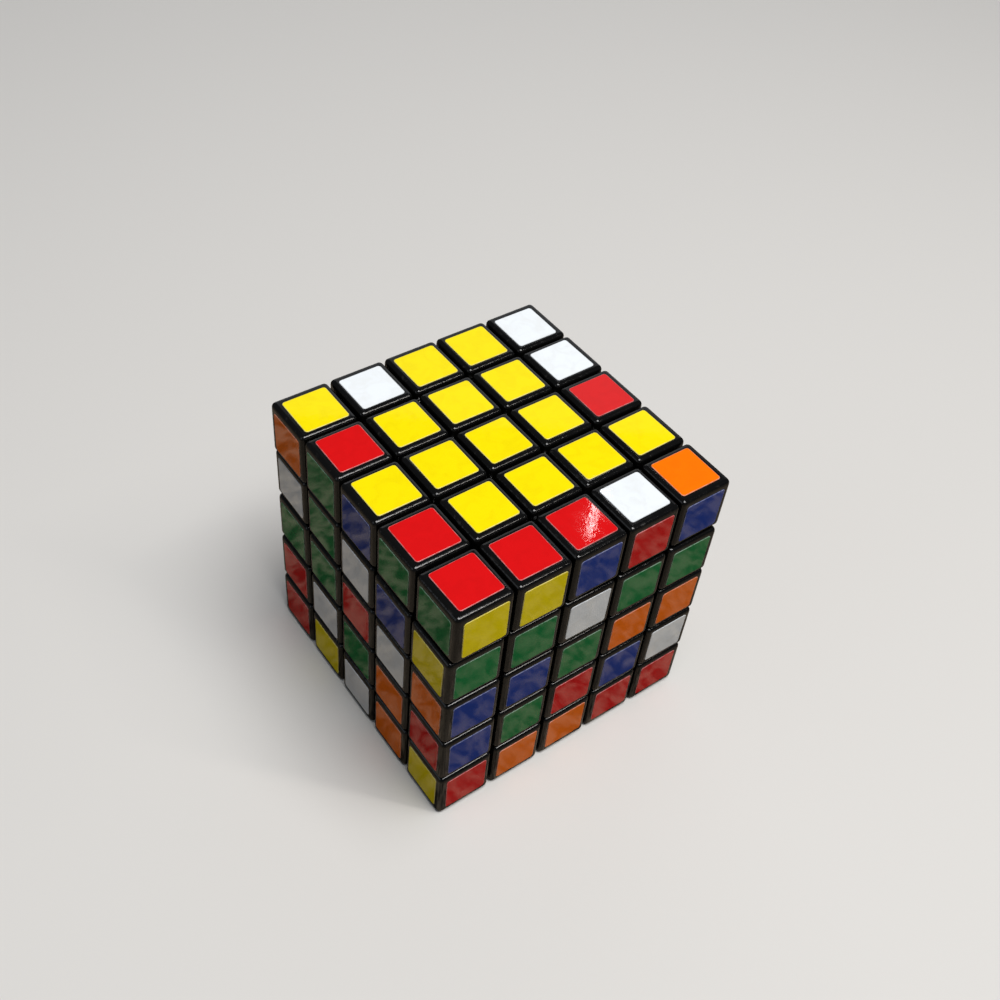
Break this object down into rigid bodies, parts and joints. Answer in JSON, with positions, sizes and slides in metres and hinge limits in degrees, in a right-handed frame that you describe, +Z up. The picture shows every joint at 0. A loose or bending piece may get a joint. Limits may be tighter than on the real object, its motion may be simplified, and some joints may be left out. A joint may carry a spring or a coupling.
{
  "type": "twisty puzzle cube",
  "caption": "Cube puzzle of black plastic cubies with coloured stickers. Its layers turn on a sprung core, so the colours can be mixed and sorted again.",
  "frame": {"origin": "centre of the core, which is the centre of the cube", "axes": "+X out of the right face, +Y out of the back face, +Z up out of the top face"},
  "size_m": [0.07, 0.07, 0.07],
  "materials": {
    "cubie_plastic": "glossy moulded plastic",
    "core_plastic": "satin moulded plastic",
    "screw_steel": "bright zinc plated",
    "spring_steel": "drawn wire"
  },
  "bodies": {
    "core": {"core": "core_plastic", "screw_top": "screw_steel", "screw_bottom": "screw_steel", "screw_right": "screw_steel", "screw_back": "screw_steel", "screw_left": "screw_steel", "screw_front": "screw_steel", "spring_top": "spring_steel", "spring_bottom": "spring_steel", "spring_right": "spring_steel", "spring_back": "spring_steel", "spring_left": "spring_steel", "spring_front": "spring_steel"},
    "top_layer": {"top_fixed_centre": "cubie_plastic", "top_centre_ring": "cubie_plastic"},
    "upper_layer": {"upper_disc": "core_plastic"},
    "lower_layer": {"lower_disc": "core_plastic"},
    "bottom_layer": {"bottom_fixed_centre": "cubie_plastic", "bottom_centre_ring": "cubie_plastic"},
    "middle_centre_row_right": {"middle_centre_row_right": "cubie_plastic"},
    "middle_centre_row_back": {"middle_centre_row_back": "cubie_plastic"},
    "middle_centre_row_left": {"middle_centre_row_left": "cubie_plastic"},
    "middle_centre_row_front": {"middle_centre_row_front": "cubie_plastic"},
    "top_edge_row_right": {"top_edge_row_right": "cubie_plastic"},
    "top_edge_row_back": {"top_edge_row_back": "cubie_plastic"},
    "top_edge_row_left": {"top_edge_row_left": "cubie_plastic"},
    "top_edge_row_front": {"top_edge_row_front": "cubie_plastic"},
    "upper_centre_row_right": {"upper_centre_row_right": "cubie_plastic"},
    "upper_centre_row_back": {"upper_centre_row_back": "cubie_plastic"},
    "upper_centre_row_left": {"upper_centre_row_left": "cubie_plastic"},
    "upper_centre_row_front": {"upper_centre_row_front": "cubie_plastic"},
    "lower_centre_row_right": {"lower_centre_row_right": "cubie_plastic"},
    "lower_centre_row_back": {"lower_centre_row_back": "cubie_plastic"},
    "lower_centre_row_left": {"lower_centre_row_left": "cubie_plastic"},
    "lower_centre_row_front": {"lower_centre_row_front": "cubie_plastic"},
    "bottom_edge_row_right": {"bottom_edge_row_right": "cubie_plastic"},
    "bottom_edge_row_back": {"bottom_edge_row_back": "cubie_plastic"},
    "bottom_edge_row_left": {"bottom_edge_row_left": "cubie_plastic"},
    "bottom_edge_row_front": {"bottom_edge_row_front": "cubie_plastic"},
    "top_corner_front_left": {"top_corner_front_left": "cubie_plastic"},
    "top_corner_front_right": {"top_corner_front_right": "cubie_plastic"},
    "top_corner_back_left": {"top_corner_back_left": "cubie_plastic"},
    "top_corner_back_right": {"top_corner_back_right": "cubie_plastic"},
    "upper_wing_front_left": {"upper_wing_front_left": "cubie_plastic"},
    "upper_wing_front_right": {"upper_wing_front_right": "cubie_plastic"},
    "upper_wing_back_left": {"upper_wing_back_left": "cubie_plastic"},
    "upper_wing_back_right": {"upper_wing_back_right": "cubie_plastic"},
    "lower_wing_front_left": {"lower_wing_front_left": "cubie_plastic"},
    "lower_wing_front_right": {"lower_wing_front_right": "cubie_plastic"},
    "lower_wing_back_left": {"lower_wing_back_left": "cubie_plastic"},
    "lower_wing_back_right": {"lower_wing_back_right": "cubie_plastic"},
    "bottom_corner_front_left": {"bottom_corner_front_left": "cubie_plastic"},
    "bottom_corner_front_right": {"bottom_corner_front_right": "cubie_plastic"},
    "bottom_corner_back_left": {"bottom_corner_back_left": "cubie_plastic"},
    "bottom_corner_back_right": {"bottom_corner_back_right": "cubie_plastic"},
    "midge_front_left": {"midge_front_left": "cubie_plastic"},
    "midge_front_right": {"midge_front_right": "cubie_plastic"},
    "midge_back_left": {"midge_back_left": "cubie_plastic"},
    "midge_back_right": {"midge_back_right": "cubie_plastic"}
  },
  "joints": [
    {"name": "top_turn", "type": "hinge", "parent": "core", "child": "top_layer", "pos_m": [0, 0, 0], "axis": [0, 0, 1], "range_deg": [-180, 180]},
    {"name": "upper_turn", "type": "hinge", "parent": "core", "child": "upper_layer", "pos_m": [0, 0, 0], "axis": [0, 0, 1], "range_deg": [-180, 180]},
    {"name": "lower_turn", "type": "hinge", "parent": "core", "child": "lower_layer", "pos_m": [0, 0, 0], "axis": [0, 0, 1], "range_deg": [-180, 180]},
    {"name": "bottom_turn", "type": "hinge", "parent": "core", "child": "bottom_layer", "pos_m": [0, 0, 0], "axis": [0, 0, 1], "range_deg": [-180, 180]},
    {"name": "right_turn", "type": "hinge", "parent": "core", "child": "middle_centre_row_right", "pos_m": [0, 0, 0], "axis": [1, 0, 0], "range_deg": [-180, 180]},
    {"name": "back_turn", "type": "hinge", "parent": "core", "child": "middle_centre_row_back", "pos_m": [0, 0, 0], "axis": [0, 1, 0], "range_deg": [-180, 180]},
    {"name": "left_turn", "type": "hinge", "parent": "core", "child": "middle_centre_row_left", "pos_m": [0, 0, 0], "axis": [-1, 0, 0], "range_deg": [-180, 180]},
    {"name": "front_turn", "type": "hinge", "parent": "core", "child": "middle_centre_row_front", "pos_m": [0, 0, 0], "axis": [0, -1, 0], "range_deg": [-180, 180]},
    {"name": "top_edge_row_right_turn", "type": "hinge", "parent": "top_layer", "child": "top_edge_row_right", "pos_m": [0, 0, 0], "axis": [1, 0, 0], "range_deg": [-180, 180]},
    {"name": "top_edge_row_back_turn", "type": "hinge", "parent": "top_layer", "child": "top_edge_row_back", "pos_m": [0, 0, 0], "axis": [0, 1, 0], "range_deg": [-180, 180]},
    {"name": "top_edge_row_left_turn", "type": "hinge", "parent": "top_layer", "child": "top_edge_row_left", "pos_m": [0, 0, 0], "axis": [-1, 0, 0], "range_deg": [-180, 180]},
    {"name": "top_edge_row_front_turn", "type": "hinge", "parent": "top_layer", "child": "top_edge_row_front", "pos_m": [0, 0, 0], "axis": [0, -1, 0], "range_deg": [-180, 180]},
    {"name": "upper_centre_row_right_turn", "type": "hinge", "parent": "upper_layer", "child": "upper_centre_row_right", "pos_m": [0, 0, 0], "axis": [1, 0, 0], "range_deg": [-180, 180]},
    {"name": "upper_centre_row_back_turn", "type": "hinge", "parent": "upper_layer", "child": "upper_centre_row_back", "pos_m": [0, 0, 0], "axis": [0, 1, 0], "range_deg": [-180, 180]},
    {"name": "upper_centre_row_left_turn", "type": "hinge", "parent": "upper_layer", "child": "upper_centre_row_left", "pos_m": [0, 0, 0], "axis": [-1, 0, 0], "range_deg": [-180, 180]},
    {"name": "upper_centre_row_front_turn", "type": "hinge", "parent": "upper_layer", "child": "upper_centre_row_front", "pos_m": [0, 0, 0], "axis": [0, -1, 0], "range_deg": [-180, 180]},
    {"name": "lower_centre_row_right_turn", "type": "hinge", "parent": "lower_layer", "child": "lower_centre_row_right", "pos_m": [0, 0, 0], "axis": [1, 0, 0], "range_deg": [-180, 180]},
    {"name": "lower_centre_row_back_turn", "type": "hinge", "parent": "lower_layer", "child": "lower_centre_row_back", "pos_m": [0, 0, 0], "axis": [0, 1, 0], "range_deg": [-180, 180]},
    {"name": "lower_centre_row_left_turn", "type": "hinge", "parent": "lower_layer", "child": "lower_centre_row_left", "pos_m": [0, 0, 0], "axis": [-1, 0, 0], "range_deg": [-180, 180]},
    {"name": "lower_centre_row_front_turn", "type": "hinge", "parent": "lower_layer", "child": "lower_centre_row_front", "pos_m": [0, 0, 0], "axis": [0, -1, 0], "range_deg": [-180, 180]},
    {"name": "bottom_edge_row_right_turn", "type": "hinge", "parent": "bottom_layer", "child": "bottom_edge_row_right", "pos_m": [0, 0, 0], "axis": [1, 0, 0], "range_deg": [-180, 180]},
    {"name": "bottom_edge_row_back_turn", "type": "hinge", "parent": "bottom_layer", "child": "bottom_edge_row_back", "pos_m": [0, 0, 0], "axis": [0, 1, 0], "range_deg": [-180, 180]},
    {"name": "bottom_edge_row_left_turn", "type": "hinge", "parent": "bottom_layer", "child": "bottom_edge_row_left", "pos_m": [0, 0, 0], "axis": [-1, 0, 0], "range_deg": [-180, 180]},
    {"name": "bottom_edge_row_front_turn", "type": "hinge", "parent": "bottom_layer", "child": "bottom_edge_row_front", "pos_m": [0, 0, 0], "axis": [0, -1, 0], "range_deg": [-180, 180]},
    {"name": "top_corner_front_left_turn", "type": "hinge", "parent": "top_edge_row_left", "child": "top_corner_front_left", "pos_m": [0, 0, 0], "axis": [0, -1, 0], "range_deg": [-180, 180]},
    {"name": "top_corner_front_right_turn", "type": "hinge", "parent": "top_edge_row_right", "child": "top_corner_front_right", "pos_m": [0, 0, 0], "axis": [0, -1, 0], "range_deg": [-180, 180]},
    {"name": "top_corner_back_left_turn", "type": "hinge", "parent": "top_edge_row_left", "child": "top_corner_back_left", "pos_m": [0, 0, 0], "axis": [0, 1, 0], "range_deg": [-180, 180]},
    {"name": "top_corner_back_right_turn", "type": "hinge", "parent": "top_edge_row_right", "child": "top_corner_back_right", "pos_m": [0, 0, 0], "axis": [0, 1, 0], "range_deg": [-180, 180]},
    {"name": "upper_wing_front_left_turn", "type": "hinge", "parent": "upper_centre_row_left", "child": "upper_wing_front_left", "pos_m": [0, 0, 0], "axis": [0, -1, 0], "range_deg": [-180, 180]},
    {"name": "upper_wing_front_right_turn", "type": "hinge", "parent": "upper_centre_row_right", "child": "upper_wing_front_right", "pos_m": [0, 0, 0], "axis": [0, -1, 0], "range_deg": [-180, 180]},
    {"name": "upper_wing_back_left_turn", "type": "hinge", "parent": "upper_centre_row_left", "child": "upper_wing_back_left", "pos_m": [0, 0, 0], "axis": [0, 1, 0], "range_deg": [-180, 180]},
    {"name": "upper_wing_back_right_turn", "type": "hinge", "parent": "upper_centre_row_right", "child": "upper_wing_back_right", "pos_m": [0, 0, 0], "axis": [0, 1, 0], "range_deg": [-180, 180]},
    {"name": "lower_wing_front_left_turn", "type": "hinge", "parent": "lower_centre_row_left", "child": "lower_wing_front_left", "pos_m": [0, 0, 0], "axis": [0, -1, 0], "range_deg": [-180, 180]},
    {"name": "lower_wing_front_right_turn", "type": "hinge", "parent": "lower_centre_row_right", "child": "lower_wing_front_right", "pos_m": [0, 0, 0], "axis": [0, -1, 0], "range_deg": [-180, 180]},
    {"name": "lower_wing_back_left_turn", "type": "hinge", "parent": "lower_centre_row_left", "child": "lower_wing_back_left", "pos_m": [0, 0, 0], "axis": [0, 1, 0], "range_deg": [-180, 180]},
    {"name": "lower_wing_back_right_turn", "type": "hinge", "parent": "lower_centre_row_right", "child": "lower_wing_back_right", "pos_m": [0, 0, 0], "axis": [0, 1, 0], "range_deg": [-180, 180]},
    {"name": "bottom_corner_front_left_turn", "type": "hinge", "parent": "bottom_edge_row_left", "child": "bottom_corner_front_left", "pos_m": [0, 0, 0], "axis": [0, -1, 0], "range_deg": [-180, 180]},
    {"name": "bottom_corner_front_right_turn", "type": "hinge", "parent": "bottom_edge_row_right", "child": "bottom_corner_front_right", "pos_m": [0, 0, 0], "axis": [0, -1, 0], "range_deg": [-180, 180]},
    {"name": "bottom_corner_back_left_turn", "type": "hinge", "parent": "bottom_edge_row_left", "child": "bottom_corner_back_left", "pos_m": [0, 0, 0], "axis": [0, 1, 0], "range_deg": [-180, 180]},
    {"name": "bottom_corner_back_right_turn", "type": "hinge", "parent": "bottom_edge_row_right", "child": "bottom_corner_back_right", "pos_m": [0, 0, 0], "axis": [0, 1, 0], "range_deg": [-180, 180]},
    {"name": "midge_front_left_turn", "type": "hinge", "parent": "middle_centre_row_left", "child": "midge_front_left", "pos_m": [0, 0, 0], "axis": [0, -1, 0], "range_deg": [-180, 180]},
    {"name": "midge_front_right_turn", "type": "hinge", "parent": "middle_centre_row_right", "child": "midge_front_right", "pos_m": [0, 0, 0], "axis": [0, -1, 0], "range_deg": [-180, 180]},
    {"name": "midge_back_left_turn", "type": "hinge", "parent": "middle_centre_row_left", "child": "midge_back_left", "pos_m": [0, 0, 0], "axis": [0, 1, 0], "range_deg": [-180, 180]},
    {"name": "midge_back_right_turn", "type": "hinge", "parent": "middle_centre_row_right", "child": "midge_back_right", "pos_m": [0, 0, 0], "axis": [0, 1, 0], "range_deg": [-180, 180]}
  ],
  "couplings": [
    {"joint": "top_edge_row_right_turn", "follows": "right_turn", "ratio": 1},
    {"joint": "top_edge_row_back_turn", "follows": "back_turn", "ratio": 1},
    {"joint": "top_edge_row_left_turn", "follows": "left_turn", "ratio": 1},
    {"joint": "top_edge_row_front_turn", "follows": "front_turn", "ratio": 1},
    {"joint": "upper_centre_row_right_turn", "follows": "right_turn", "ratio": 1},
    {"joint": "upper_centre_row_back_turn", "follows": "back_turn", "ratio": 1},
    {"joint": "upper_centre_row_left_turn", "follows": "left_turn", "ratio": 1},
    {"joint": "upper_centre_row_front_turn", "follows": "front_turn", "ratio": 1},
    {"joint": "lower_centre_row_right_turn", "follows": "right_turn", "ratio": 1},
    {"joint": "lower_centre_row_back_turn", "follows": "back_turn", "ratio": 1},
    {"joint": "lower_centre_row_left_turn", "follows": "left_turn", "ratio": 1},
    {"joint": "lower_centre_row_front_turn", "follows": "front_turn", "ratio": 1},
    {"joint": "bottom_edge_row_right_turn", "follows": "right_turn", "ratio": 1},
    {"joint": "bottom_edge_row_back_turn", "follows": "back_turn", "ratio": 1},
    {"joint": "bottom_edge_row_left_turn", "follows": "left_turn", "ratio": 1},
    {"joint": "bottom_edge_row_front_turn", "follows": "front_turn", "ratio": 1},
    {"joint": "top_corner_front_left_turn", "follows": "front_turn", "ratio": 1},
    {"joint": "top_corner_front_right_turn", "follows": "front_turn", "ratio": 1},
    {"joint": "top_corner_back_left_turn", "follows": "back_turn", "ratio": 1},
    {"joint": "top_corner_back_right_turn", "follows": "back_turn", "ratio": 1},
    {"joint": "upper_wing_front_left_turn", "follows": "front_turn", "ratio": 1},
    {"joint": "upper_wing_front_right_turn", "follows": "front_turn", "ratio": 1},
    {"joint": "upper_wing_back_left_turn", "follows": "back_turn", "ratio": 1},
    {"joint": "upper_wing_back_right_turn", "follows": "back_turn", "ratio": 1},
    {"joint": "lower_wing_front_left_turn", "follows": "front_turn", "ratio": 1},
    {"joint": "lower_wing_front_right_turn", "follows": "front_turn", "ratio": 1},
    {"joint": "lower_wing_back_left_turn", "follows": "back_turn", "ratio": 1},
    {"joint": "lower_wing_back_right_turn", "follows": "back_turn", "ratio": 1},
    {"joint": "bottom_corner_front_left_turn", "follows": "front_turn", "ratio": 1},
    {"joint": "bottom_corner_front_right_turn", "follows": "front_turn", "ratio": 1},
    {"joint": "bottom_corner_back_left_turn", "follows": "back_turn", "ratio": 1},
    {"joint": "bottom_corner_back_right_turn", "follows": "back_turn", "ratio": 1},
    {"joint": "midge_front_left_turn", "follows": "front_turn", "ratio": 1},
    {"joint": "midge_front_right_turn", "follows": "front_turn", "ratio": 1},
    {"joint": "midge_back_left_turn", "follows": "back_turn", "ratio": 1},
    {"joint": "midge_back_right_turn", "follows": "back_turn", "ratio": 1}
  ]
}
